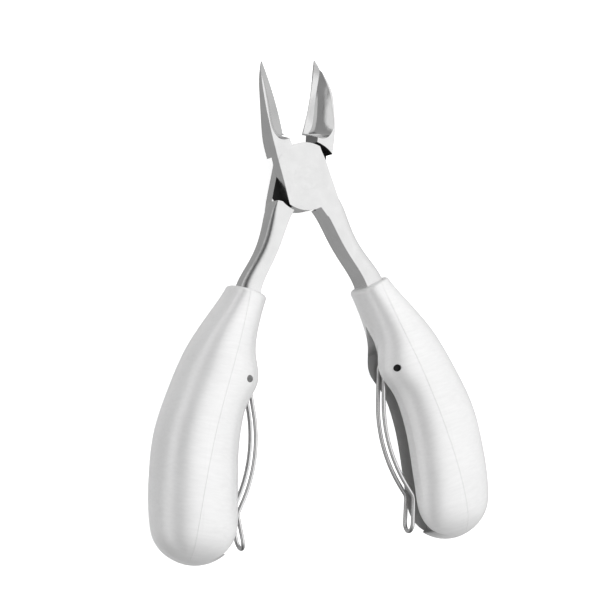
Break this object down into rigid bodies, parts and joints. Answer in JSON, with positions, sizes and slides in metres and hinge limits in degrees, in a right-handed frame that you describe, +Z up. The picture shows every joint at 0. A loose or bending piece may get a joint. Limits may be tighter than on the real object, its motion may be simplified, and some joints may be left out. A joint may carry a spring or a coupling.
{
  "type": "toenail nipper",
  "caption": "Lap-joint toenail nipper with hollow-ground pointed jaws and two shell handles, each with a hinged hairpin return spring.",
  "frame": {"origin": "centre of the tool's box at rest, on the surface that it lies on", "axes": "+Y towards the jaws along the tool's length, +Z up along the pivot axis, towards the front joint plate"},
  "size_m": [0.111, 0.1495, 0.0198],
  "materials": {
    "lever_steel": "satin brushed stainless steel, polished edges",
    "rivet_steel": "ground flush with the plates",
    "handle_shell": "silver-white metallic paint over moulded plastic, satin",
    "pin_steel": "dark oxide",
    "spring_wire": "polished spring wire"
  },
  "bodies": {
    "front_half": {"front_lever": "lever_steel", "pivot_rivet": "rivet_steel", "right_inner_shell": "handle_shell", "right_outer_shell": "handle_shell", "right_spring_pin": "pin_steel"},
    "rear_half": {"rear_lever": "lever_steel", "left_inner_shell": "handle_shell", "left_outer_shell": "handle_shell", "left_spring_pin": "pin_steel"},
    "right_spring": {"right_spring": "spring_wire"},
    "left_spring": {"left_spring": "spring_wire"}
  },
  "joints": [
    {"name": "jaw_pivot", "type": "hinge", "parent": "front_half", "child": "rear_half", "pos_m": [0, 0.0386, 0.0099], "axis": [0, 0, 1], "range_deg": [0, 27]},
    {"name": "right_spring_swing", "type": "hinge", "parent": "front_half", "child": "right_spring", "pos_m": [0.02421, -0.02089, 0.0099], "axis": [0, 0, 1], "range_deg": [0, 6], "stiffness_Nm_per_rad": 0.4},
    {"name": "left_spring_swing", "type": "hinge", "parent": "rear_half", "child": "left_spring", "pos_m": [-0.02421, -0.02089, 0.0099], "axis": [0, 0, -1], "range_deg": [0, 6], "stiffness_Nm_per_rad": 0.4}
  ]
}
